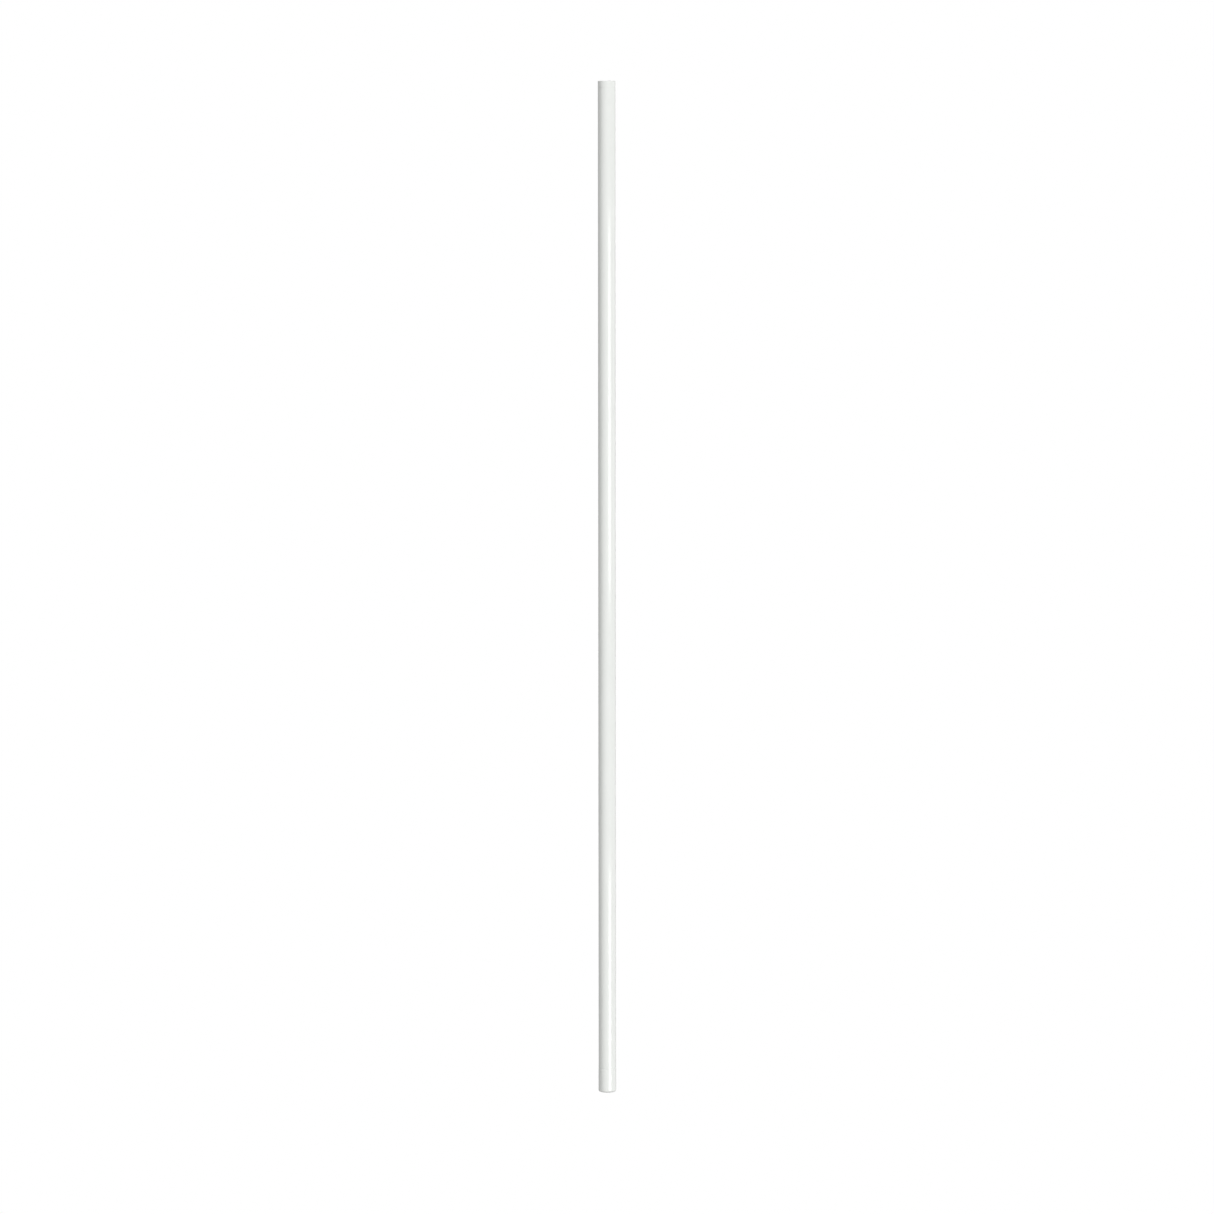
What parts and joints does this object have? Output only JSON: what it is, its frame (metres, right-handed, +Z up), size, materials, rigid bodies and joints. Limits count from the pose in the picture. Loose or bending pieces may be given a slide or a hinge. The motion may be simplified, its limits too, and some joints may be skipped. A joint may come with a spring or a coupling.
{
  "type": "white cane",
  "caption": "Straight rigid white cane: aluminium tube in a white shrink sleeve, flush plug cap at the top and a screw-in nylon pencil tip at the bottom.",
  "frame": {"origin": "lowest point of the cane tip's ground face, on the cane's axis", "axes": "+Z up along the cane's axis to the flat top of the cap; +X along the spring pin across the tube; +Y away from the viewer"},
  "size_m": [0.019, 0.019, 1.1],
  "materials": {
    "cap_plastic": "moulded white plastic, satin",
    "sleeve_film": "white shrink film, glossy",
    "tube_aluminium": "drawn, bare",
    "insert_aluminium": "turned",
    "spring_steel": "oiled spring steel",
    "zinc_steel": "zinc plated",
    "washer_plastic": "white, matt",
    "tip_nylon": "white nylon, smooth on its side and scuffed on the dome"
  },
  "bodies": {
    "cane": {"shaft_tube": "tube_aluminium", "white_sleeve": "sleeve_film", "top_cap": "cap_plastic", "tip_insert": "insert_aluminium", "insert_pin": "spring_steel"},
    "washer": {"tip_washer": "washer_plastic"},
    "tip": {"cane_tip": "tip_nylon", "tip_stud": "zinc_steel"}
  },
  "joints": [
    {"name": "tip_travel", "type": "slide", "parent": "cane", "child": "washer", "axis": [0, 0, -1], "range_m": [0, 0.015]},
    {"name": "tip_turn", "type": "hinge", "parent": "washer", "child": "tip", "pos_m": [0, 0, 0.026], "axis": [0, 0, -1], "range_deg": [0, 4320]}
  ],
  "couplings": [
    {"joint": "tip_travel", "follows": "tip_turn", "m_per_rad": 0.00019894}
  ]
}
